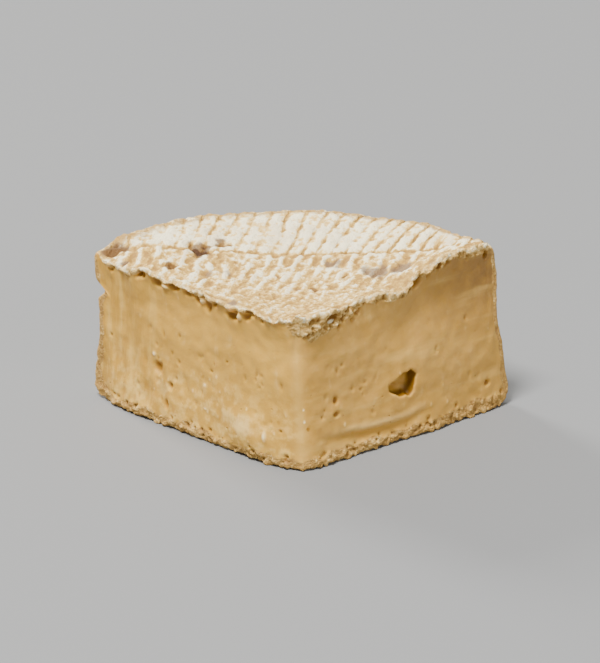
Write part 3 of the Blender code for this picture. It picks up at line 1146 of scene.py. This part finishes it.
def stands_out(mesh: bpy.types.Mesh, rounds: int) -> Array:
    """Compares each point with its smoothed surroundings.

    Args:
        mesh: The mesh.
        rounds: How often the surroundings are smoothed.

    Returns:
        How far each point stands out along its normal.
    """
    points = mesh_points(mesh)
    normals = np.empty(3 * len(points), np.float32)
    mesh.vertices.foreach_get("normal", normals)
    return ((points - smoothed(mesh, points, rounds)) * normals.reshape(-1, 3)).sum(1)


class Value:
    """A number that a socket carries, with Python's own operators."""

    def __init__(self, shading: "Shading", socket: Socket) -> None:
        """Wraps a socket of a material that is being built."""
        self.shading = shading
        self.socket = socket

    def math(self, operation: str, *others: "Value | float") -> "Value":
        """Puts this number and others through one Math node."""
        return self.shading.math(operation, self, *others)

    def __add__(self, other: "Value | float") -> "Value":
        """Adds a number."""
        return self.math("ADD", other)

    __radd__ = __add__

    def __sub__(self, other: "Value | float") -> "Value":
        """Takes a number away."""
        return self.math("SUBTRACT", other)

    def __rsub__(self, other: float) -> "Value":
        """Takes this number away from a plain one."""
        return self.shading.math("SUBTRACT", other, self)

    def __mul__(self, other: "Value | float") -> "Value":
        """Multiplies by a number."""
        return self.math("MULTIPLY", other)

    __rmul__ = __mul__

    def absolute(self) -> "Value":
        """Drops the sign."""
        return self.math("ABSOLUTE")

    def fraction(self) -> "Value":
        """Keeps what is after the decimal point."""
        return self.math("FRACT")

    def step(self, low: float, high: float) -> "Value":
        """Gives 0 below low and 1 above high, with a smooth ramp between them."""
        inputs = {"Value": self, "From Min": low, "From Max": high}
        return Value(self.shading, self.shading.node("ShaderNodeMapRange", SMOOTH, inputs).outputs[0])


class Shading:
    """Builds the nodes of one material."""

    def __init__(self, name: str) -> None:
        """Starts an empty material.

        Args:
            name: The material's name.
        """
        self.material = bpy.data.materials.new(name)
        self.material.use_nodes = True
        self.tree = self.material.node_tree
        self.tree.nodes.clear()
        self.place = self.node("ShaderNodeTexCoord").outputs["Object"]

    def node(
        self, kind: str, settings: dict | None = None, inputs: dict | None = None
    ) -> bpy.types.Node:
        """Adds a node.

        Args:
            kind: The node's type.
            settings: Its own properties, which are set first.
            inputs: Values or links for its sockets, by name or number.

        Returns:
            The new node.
        """
        made = self.tree.nodes.new(kind)
        for name, value in (settings or {}).items():
            setattr(made, name, value)
        for name, value in (inputs or {}).items():
            if isinstance(value, Value):
                value = value.socket
            if isinstance(value, Socket):
                self.tree.links.new(value, made.inputs[name])
            else:
                made.inputs[name].default_value = value
        return made

    def math(self, operation: str, *values: Value | float) -> Value:
        """Puts numbers through one Math node."""
        made = self.node("ShaderNodeMath", {"operation": operation}, dict(enumerate(values)))
        return Value(self, made.outputs[0])

    def measure(self, name: str) -> Value:
        """Reads one of the measures stored on the mesh."""
        return Value(self, self.node("ShaderNodeAttribute", {"attribute_name": name}).outputs["Fac"])

    def part(self, vector: Socket, axis: str) -> Value:
        """Reads one part of a vector or colour: X, Y or Z."""
        return Value(self, self.node("ShaderNodeSeparateXYZ", None, {"Vector": vector}).outputs[axis])

    def stretched(self, scale: tuple, turn: float = 0.0) -> Socket:
        """Gives the place for a pattern that is made longer and then turned about the upright axis."""
        inputs = {"Vector": self.place, "Scale": scale, "Rotation": (0.0, 0.0, turn)}
        return self.node("ShaderNodeMapping", {"vector_type": "TEXTURE"}, inputs).outputs[0]

    def speckle(self, size: float, detail: float = 2.0, place: Socket | None = None) -> Value:
        """Gives cloudy noise from 0 to 1 with clouds of about the given size in metres."""
        inputs = {"Vector": place or self.place, "Scale": 1 / size, "Detail": detail, "Roughness": 0.55}
        return Value(self, self.node("ShaderNodeTexNoise", None, inputs).outputs["Fac"])

    def cells(self, size: float) -> bpy.types.Node:
        """Gives a Voronoi node with cells of about the given size in metres."""
        inputs = {"Vector": self.place, "Scale": 1.0 / size}
        return self.node("ShaderNodeTexVoronoi", None, inputs)

    def mix(self, amount: Value | float, first: tuple | Socket, second: tuple | Socket) -> Socket:
        """Blends from the first colour to the second."""
        inputs = {0: amount, 6: first, 7: second}
        return self.node("ShaderNodeMix", {"data_type": "RGBA"}, inputs).outputs[2]

    def bump(self, height: Value, distance: float, strength: float) -> Socket:
        """Turns a height into a bent normal."""
        inputs = {"Height": height, "Distance": distance, "Strength": strength}
        return self.node("ShaderNodeBump", None, inputs).outputs[0]

    def shader(self, inputs: dict) -> Socket:
        """Adds a Principled shader."""
        return self.node("ShaderNodeBsdfPrincipled", None, inputs).outputs[0]

    def finish(self, shader: Socket) -> bpy.types.Material:
        """Ends the material with a shader."""
        self.node("ShaderNodeOutputMaterial", None, {"Surface": shader})
        return self.material


@dataclass(frozen=True)
class Softness:
    """How deep light goes into a finish, and how much its surface shines."""

    weight: float
    radius: tuple
    scale: float
    specular: float = 0.5

    def shader(self, s: Shading, shade: Socket, roughness: Value | float, normal: Socket) -> Socket:
        """Builds a soft finish's shader.

        Args:
            s: The material that is being built.
            shade: The finish's colour.
            roughness: How dull it is.
            normal: Its bent normal.

        Returns:
            The shader.
        """
        inputs = {
            "Base Color": shade,
            "Roughness": roughness,
            "Subsurface Weight": self.weight,
            "Subsurface Radius": self.radius,
            "Subsurface Scale": self.scale,
            "Specular IOR Level": self.specular,
            "Normal": normal,
        }
        return s.shader(inputs)


def colour(red: float, green: float, blue: float) -> tuple:
    """Turns a colour as seen, from 0 to 255, into the linear colour that a shader takes."""
    shares = [seen / 255 for seen in (red, green, blue)]
    return (*(s / 12.92 if s <= 0.04045 else ((s + 0.055) / 1.055) ** 2.4 for s in shares), 1.0)


@dataclass(frozen=True)
class RindFinish:
    """The white bloom over tan rind, ribbed by the rack and worn at the rim and the cuts, with painted
    shade in its cracks and pits.
    """

    bloom: tuple = colour(252, 238, 196)
    grey_bloom: tuple = colour(219, 195, 154)
    cream: tuple = colour(228, 190, 116)
    tan: tuple = colour(192, 151, 74)
    brown: tuple = colour(164, 124, 60)
    crumb_cream: tuple = colour(224, 187, 114)
    crumb_tan: tuple = colour(182, 141, 72)
    crumb_brown: tuple = colour(160, 118, 60)
    pit: tuple = colour(142, 97, 34)
    orange_brown: tuple = colour(112, 77, 36)
    pinkish_grey: tuple = colour(126, 101, 76)
    dark_brown: tuple = colour(78, 52, 30)
    stroke_turn: float = math.radians(16)
    stroke_length: float = 3.2
    roughness: float = 0.85
    bump: tuple = (0.55 * MM, 1.0)
    softness: Softness = Softness(0.08, (1.0, 0.7, 0.4), 0.6 * MM, 0.3)

    def colour_and_height(self, s: Shading) -> tuple:
        """Builds the rind's colour and its fine relief.

        Args:
            s: The material that is being built.

        Returns:
            The colour's socket and the relief's value.
        """
        fine = s.speckle(0.45 * MM, 3.0) - 0.5
        grains = s.speckle(1.2 * MM, 3.0) - 0.5
        patches = s.speckle(5.0 * MM, 3.0) - 0.5
        along_strokes = s.stretched((1.0, self.stroke_length, 1.0), -self.stroke_turn)
        strokes = s.speckle(1.2 * MM, 3.0, along_strokes) - 0.5
        crest, beyond, rimward, marks, edge, top, high, foot = map(
            s.measure, ("crest", "beyond", "rimward", "marks", "edge", "top", "high", "foot")
        )
        outer = (beyond + (s.speckle(3 * MM) - 0.5) * 3.0).step(-0.8, 0.8)
        front = (0 - beyond).step(7.0, 24.0)

        # How white the top is, inside the cross mark and between it and the rim; crests come out whiter
        # and hollows tanner, partly where the bloom grows and partly painted highlight and painted
        # shade
        line = ((s.measure("across") + 0.5 + grains * 0.30).fraction() - 0.5).absolute()
        groove = (1 - line.step(0.02, 0.14)) * (marks * 0.85 + rimward.step(0.86, 0.94) * 0.3)
        stroke = (1 - (line + fine * 0.35).step(0.05, 0.28)) * marks * (1 - front)
        in_band = 0.40 + stroke * 0.42 + strokes * (1 - front) * 1.8 - front * 0.06
        in_band = in_band + patches * 1.6 + grains * 1.2 + fine * 0.9 + crest * 1.5
        at_rim = 0.74 - groove * 0.36 - (1 - line.step(0.05, 0.34)) * marks * 0.10 + strokes * 1.2
        at_rim = at_rim + patches + grains * 0.6 + fine * 0.3 + crest * 1.5
        cross = (1 - (beyond + grains * 2.0).absolute().step(0.15, 0.80)) * patches.step(-0.20, 0.02)
        on_top = in_band * (1 - outer) + at_rim * outer - cross * 0.55
        on_top = on_top - edge * (s.speckle(2.6 * MM) - 0.42) * 2.6

        # How white the side is, and the bloom of both; crests and ridges whiter and creases tanner,
        # partly the bloom's own pattern and partly painted highlight and painted shade
        on_side = 0.72 + grains * 0.6 + patches * 0.7 + crest * 0.9 + fine * 0.3
        on_side = on_side + s.measure("ridge") * 0.9 - edge * (0.10 + (patches + 0.08) * 1.2)
        white = on_top * top + on_side * (1 - top)
        shade = self.ramp(s, white, (self.brown, self.tan, self.cream, self.bloom))
        dusty = s.speckle(8 * MM).step(0.45, 0.70) * white.step(0.55, 0.9) * 0.55
        shade = s.mix(dusty, shade, self.grey_bloom)

        # The worn rim
        rim = (rimward + grains * 0.05 + patches * 0.06 + groove * 0.026).step(0.902, 0.934)
        rim = rim * (1 - (high + grains * 5.0 + patches * 4.0).step(0.2, 1.7))
        worn = s.mix((grains + 0.5).step(0.38, 0.66), self.brown, self.tan)
        shade = s.mix(rim * 0.92, shade, worn)

        # The crumbs on the cut faces, lighter on their crowns, partly as a painted highlight
        crumbly = 0.28 + grains * 1.1 + fine * 0.7 + crest * 0.5 + (1 - high.step(0.2, 1.3)) * 0.28
        crumbly = crumbly + patches * 0.6 - foot * 0.06 - high.step(5.0, 9.0) * (1 - foot) * 0.12
        palette = (self.crumb_brown, self.crumb_tan, self.crumb_cream, self.bloom)
        shade = s.mix(s.measure("outside"), self.ramp(s, crumbly, palette), shade)

        # Painted shade in the cracks and the pits, brown and grey where the dents are, and white flecks
        greyed = (s.measure("grey") + grains * 0.9 + fine * 0.5).step(0.30, 1.05)
        browned = s.measure("brown") + grains * 0.9
        for amount, tint in (
            # Painted shade: brown where the rind sits below its surroundings, in cracks and grooves
            ((0 - crest).step(0.10, 0.32) * 0.40, self.brown),
            (greyed * 0.85, self.pinkish_grey),
            (browned.step(0.30, 0.70) * 0.85, self.orange_brown),
            (browned.step(0.85, 1.25), self.dark_brown),
            # Painted shade: the pits' golden brown
            ((s.measure("pit") + fine * 0.4).step(0.30, 0.80), self.pit),
            (s.measure("flake_and_glint").step(0.30, 0.70), self.bloom),
        ):
            shade = s.mix(amount, shade, tint)
        return shade, fine * 0.7 + grains * 0.9 + strokes * top * 0.8 - groove * outer * top * 0.6

    @staticmethod
    def ramp(s: Shading, white: Value, palette: tuple) -> Socket:
        """Runs through a palette as the rind gets whiter.

        Args:
            s: The material that is being built.
            white: How white the rind is.
            palette: The brown, the tan, the cream and the white bloom.

        Returns:
            The colour.
        """
        brown, tan, cream, bloom = palette
        shade = s.mix(white.step(-0.10, 0.22), brown, tan)
        shade = s.mix(white.step(0.24, 0.50), shade, cream)
        return s.mix(white.step(0.50, 0.78), shade, bloom)

    def shader(self, s: Shading) -> Socket:
        """Builds the rind's shader."""
        shade, height = self.colour_and_height(s)
        return self.softness.shader(s, shade, self.roughness, s.bump(height, *self.bump))


@dataclass(frozen=True)
class PasteFinish:
    """The ripe paste: golden, soft and a little moist, with pores, smears and paler streaks; painted
    shade in its pits, pores, fold and gas eye, and painted highlights on its glossy smear, the fold's
    lip and its glints.
    """

    gold: tuple = colour(210, 162, 68)
    tan_gold: tuple = colour(209, 161, 78)
    deep_gold: tuple = colour(188, 140, 52)
    dim_tan: tuple = colour(146, 107, 51)
    cream: tuple = colour(229, 188, 102)
    pale: tuple = colour(238, 202, 128)
    # Painted shade: the deeper gold of the band under the fold's lip
    fold_shade_gold: tuple = colour(203, 151, 56)
    glint: tuple = colour(252, 228, 176)
    eye_gold: tuple = colour(200, 153, 62)
    # Painted shade: the dark olive of the gas eye's walls
    eye_wall_shade: tuple = colour(128, 88, 18)
    pore_shade: tuple = colour(166, 116, 34)
    roughness: float = 0.44
    bump: tuple = (0.25 * MM, 0.8)
    softness: Softness = Softness(0.25, (1.0, 0.55, 0.22), 1.6 * MM, 0.28)

    def shader(self, s: Shading) -> Socket:
        """Builds the paste's shader.

        Args:
            s: The material that is being built.

        Returns:
            The shader.
        """
        mottle = s.speckle(2.2 * MM, 4.0) - 0.5
        fine = s.speckle(0.5 * MM) - 0.5
        streaks = s.speckle(2.0 * MM, 3.0, s.stretched((1.0, 1.0, 6.0)))
        layers = s.speckle(3.0 * MM, 3.0, s.stretched((6.0, 6.0, 1.0)))
        leftward, rimward, flake_and_glint, depth = map(s.measure, ("leftward", "rimward", "flake_and_glint", "eye"))
        rightward = 1 - leftward
        height = s.part(s.place, "Z")
        low = 1 - height.step(5 * MM, 19 * MM)
        far_left = rimward.step(0.52, 0.86) * leftward
        high_right = rightward * rimward.step(0.35, 0.95) * height.step(12 * MM, 27 * MM)
        # The pale glossy smear: less rough paste, painted pale partly as a highlight
        smear_and_highlight = (s.measure("smear_and_highlight") + mottle * 1.4 + (streaks - 0.5) * 1.6).step(0.15, 0.95)
        grains = s.cells(1.5 * MM)
        chosen = s.part(grains.outputs["Color"], "X").step(0.78, 0.82)
        inside = 1 - Value(s, grains.outputs["Distance"]).step(0.07, 0.18)
        pores = inside * chosen * (0.25 + low * 0.75)
        # Inside the gas eye: the walls near its opening are painted dark olive as shade, and the deep
        # floor keeps the paste's deeper gold
        eye_gold_and_shade = s.mix((depth + mottle).step(1.5, 2.4), self.eye_wall_shade, self.eye_gold)
        shade = s.mix(rightward, self.gold, self.tan_gold)
        for amount, tint in (
            (s.speckle(11 * MM).step(0.35, 0.70) * 0.5, self.deep_gold),
            (high_right * 0.95, self.dim_tan),
            ((0.5 - mottle).step(0.46, 0.70) * 0.40, self.deep_gold),
            (layers.step(0.50, 0.70) * rightward * 0.34, self.cream),
            ((mottle + 0.5).step(0.44, 0.64) * low * leftward * 0.85, self.cream),
            (streaks.step(0.46, 0.60) * far_left * 0.75, self.deep_gold),
            ((1 - streaks).step(0.53, 0.66) * far_left * 0.50, self.cream),
            (smear_and_highlight * 0.60, self.pale),
            ((1 - rimward.step(0.0, 0.05)) * 0.3, self.cream),
            # Painted shade: the band under the fold's lip goes deeper gold; painted highlight: the lip
            # itself goes pale
            (s.measure("fold") * 0.90, self.fold_shade_gold),
            (s.measure("lip") * 0.5, self.pale),
            # Bright flecks: white flakes of rind near the lips, and glints on the paste painted pale
            # and near-white as highlights
            (flake_and_glint.step(0.05, 0.80) * 0.8, self.pale),
            (flake_and_glint.step(0.80, 1.40), self.glint),
            # Painted shade: pores and pits darker gold in their hollows
            (pores * 0.7, self.pore_shade),
            ((s.measure("pit") + fine * 0.3).step(0.10, 0.80), self.pore_shade),
            (depth.step(0.05, 0.40), eye_gold_and_shade),
        ):
            shade = s.mix(amount, shade, tint)
        normal = s.bump(mottle * 0.7 + fine * 0.16 - pores * 0.8, *self.bump)
        dullness = self.roughness + mottle * 0.3 - smear_and_highlight * 0.12
        return self.softness.shader(s, shade, dullness, normal)


@dataclass(frozen=True)
class CrumbFinish:
    """The loose crumbs: the rind's tan and cream, speckled."""

    roughness: float = 0.8
    bump: tuple = (0.25 * MM, 0.8)
    softness: Softness = Softness(0.1, (1.0, 0.7, 0.4), 0.8 * MM)

    def shader(self, s: Shading) -> Socket:
        """Builds the crumbs' shader.

        Args:
            s: The material that is being built.

        Returns:
            The shader.
        """
        rind = RindFinish()
        tone = s.speckle(1.6 * MM, 3.0)
        fine = s.speckle(0.5 * MM)
        shade = s.mix(tone.step(0.30, 0.52), rind.crumb_brown, rind.crumb_tan)
        shade = s.mix((tone + (fine - 0.5) * 0.4).step(0.56, 0.76), shade, rind.crumb_cream)
        return self.softness.shader(s, shade, self.roughness, s.bump(fine, *self.bump))


def cheese_material() -> bpy.types.Material:
    """Builds the wedge's material: paste where it is cut, rind where it isn't.

    Returns:
        The material.
    """
    s = Shading("camembert")
    edge = s.measure("rind") + (s.speckle(0.7 * MM) - 0.5) * 0.5
    inputs = {0: edge.step(0.35, 0.60), 1: PasteFinish().shader(s), 2: RindFinish().shader(s)}
    return s.finish(s.node("ShaderNodeMixShader", None, inputs).outputs[0])


def crumb_material() -> bpy.types.Material:
    """Builds the crumbs' material."""
    s = Shading("crumbs")
    return s.finish(CrumbFinish().shader(s))


@dataclass
class CrumbRow:
    """Loose crumbs of rind along the foot of one cut face, half sunk in the cheese."""

    side: Side
    seed: int
    count: int = 200
    heights: tuple = mm((0.2, 2.4))
    sizes: tuple = mm((0.28, 0.70))
    stretches: tuple = (0.65, 1.2)
    lumps: tuple = (0.62, 1.20)
    end_gap: float = mm(2)
    start_distance: float = mm(12)
    sunk: float = 0.32
    floor_gap: float = 0.62

    def add_to(
        self, shape: bmesh.types.BMesh, wedge: Wedge, surface: BVHTree, shift: Vector
    ) -> int:
        """Adds this row's crumbs to a shape.

        Args:
            shape: The bmesh that takes the crumbs.
            wedge: The wedge's sizes.
            surface: The finished wedge's surface.
            shift: What moved the wheel's centre into the frame.

        Returns:
            How many crumbs found their place.
        """
        draw = random.Random(self.seed)
        away, outward = wedge.directions(self.side)
        placed = 0
        for _ in range(self.count):
            along = draw.uniform(self.end_gap, wedge.radius - self.end_gap)
            height = draw.uniform(*self.heights)
            size = draw.uniform(*self.sizes)
            turn = [draw.uniform(0, math.tau) for _ in range(3)]
            stretch = [draw.uniform(*self.stretches) for _ in range(3)]
            start = away * along + outward * self.start_distance + Vector((0.0, 0.0, height)) + shift
            hit, normal, _, _ = surface.ray_cast(start, -outward)
            if hit is None:
                continue
            place = Matrix.Translation(hit - normal * size * self.sunk)
            place[2][3] = max(place[2][3], self.floor_gap * size)
            for axis, angle in zip("XYZ", turn):
                place = place @ Matrix.Rotation(angle, 4, axis)
            self.add_crumb(shape, place @ Matrix.Diagonal((*[size * s for s in stretch], 1.0)), draw)
            placed += 1
        return placed

    def add_crumb(self, shape: bmesh.types.BMesh, place: Matrix, draw: random.Random) -> None:
        """Adds one lumpy crumb.

        Args:
            shape: The bmesh that takes the crumb.
            place: What moves, turns and stretches a crumb of size 1.
            draw: Where the random numbers come from.
        """
        crumb = bmesh.new()
        bmesh.ops.create_uvsphere(crumb, u_segments=7, v_segments=5, radius=0.5)
        for vertex in crumb.verts:
            vertex.co *= draw.uniform(*self.lumps)
        crumb.transform(place)
        bmesh.ops.recalc_face_normals(crumb, faces=crumb.faces)
        made = bpy.data.meshes.new("crumb")
        crumb.to_mesh(made)
        crumb.free()
        shape.from_mesh(made)
        bpy.data.meshes.remove(made)


def loose_crumbs(wedge: Wedge, body: Thing) -> Thing:
    """Makes the loose crumbs at the foot of both cut faces as one joined mesh.

    Args:
        wedge: The wedge's sizes.
        body: The finished wedge.

    Returns:
        The crumbs.
    """
    shape = bmesh.new()
    surface = BVHTree.FromObject(body, bpy.context.evaluated_depsgraph_get())
    low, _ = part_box(NODE)
    shift = Vector((0.0, low.y - wedge.point_wear, 0.0))
    for row in (CrumbRow(Side.LEFT, 31), CrumbRow(Side.RIGHT, 32)):
        placed = row.add_to(shape, wedge, surface, shift)
        log.info("the %s foot has %d loose crumbs", row.side.name.lower(), placed)
    crumbs = new_object("rind_crumbs", shape)
    crumbs.data.shade_smooth()
    return crumbs


@dataclass(frozen=True)
class Studio:
    """The plain floor, the soft lights and the camera."""

    floor_colour: tuple = colour(123, 123, 122)
    floor_shade: tuple = colour(118, 118, 118)
    floor_half_size: float = 3.0
    room_light: float = 0.5
    elevation: float = math.radians(22.4)
    azimuth: float = math.radians(1.6)
    lens: float = 400.0
    sensor: float = 36.0
    frame_width: int = 600
    frame_height: int = 663
    share_of_width: float = 0.70
    # Each light's name, place, size and power
    lights: tuple = (
        ("key", (-0.55, -0.95, 2.50), 0.7, 180.0),
        ("fill", (1.60, -1.70, 0.90), 1.2, 14.0),
        ("back", (-1.50, 1.70, 1.00), 0.6, 75.0),
    )

    def build(self, low: Vector, high: Vector) -> None:
        """Lays the floor, hangs the lights and aims the camera.

        Args:
            low: The lowest corner of the wedge's box.
            high: Its highest corner.
        """
        self.lay_floor()
        target = (low + high) / 2
        self.aim_camera(target, high.x - low.x)
        for name, place, size, power in self.lights:
            light = bpy.data.lights.new(name, "AREA")
            light.size = size
            light.energy = power
            self.hang(light, Vector(place), target - Vector(place))
        world = bpy.data.worlds.new("soft room")
        world.use_nodes = True
        room = world.node_tree.nodes["Background"].inputs
        room["Color"].default_value = (1.0, 1.0, 1.0, 1.0)
        room["Strength"].default_value = self.room_light
        bpy.context.scene.world = world

    def lay_floor(self) -> None:
        """Lays a wide plain floor."""
        shape = bmesh.new()
        bmesh.ops.create_grid(shape, x_segments=1, y_segments=1, size=self.floor_half_size)
        floor = new_object("floor", shape)
        s = Shading("floor")
        tone = s.mix(s.speckle(0.4).step(0.3, 0.7) * 0.12, self.floor_colour, self.floor_shade)
        floor.data.materials.append(s.finish(s.shader({"Base Color": tone, "Roughness": 0.8})))

    def aim_camera(self, target: Vector, width: float) -> None:
        """Puts the camera where the wedge fills its share of the frame.

        Args:
            target: What it looks at.
            width: How wide the wedge is.
        """
        seen_height = width / self.share_of_width * self.frame_height / self.frame_width
        back = Vector((0.0, -math.cos(self.elevation), math.sin(self.elevation)))
        back.rotate(Matrix.Rotation(self.azimuth, 3, "Z"))
        data = bpy.data.cameras.new("camera")
        data.lens = self.lens
        data.sensor_width = self.sensor
        distance = seen_height * self.lens / self.sensor
        bpy.context.scene.camera = self.hang(data, target + back * distance, -back)

    @staticmethod
    def hang(data: bpy.types.ID, place: Vector, facing: Vector) -> Thing:
        """Hangs a light or a camera.

        Args:
            data: The light or the camera.
            place: Where it hangs.
            facing: Where it looks.

        Returns:
            Its object.
        """
        made = bpy.data.objects.new(data.name, data)
        made.location = place
        made.rotation_euler = facing.to_track_quat("-Z", "Y").to_euler()
        bpy.context.scene.collection.objects.link(made)
        return made


def main() -> None:
    """Builds the cheese, its crumbs and the studio."""
    logging.basicConfig(level=logging.INFO, format="%(name)s: %(message)s")
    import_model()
    wedge = Wedge(face_size=FACE_SIZE)
    body = wedge.build()
    body.data.materials.append(cheese_material())
    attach(body, BODY)
    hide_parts(NODE)
    crumbs = loose_crumbs(wedge, body)
    crumbs.data.materials.append(crumb_material())
    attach(crumbs, BODY)
    Studio().build(*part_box(NODE))


if __name__ == "__main__":
    main()
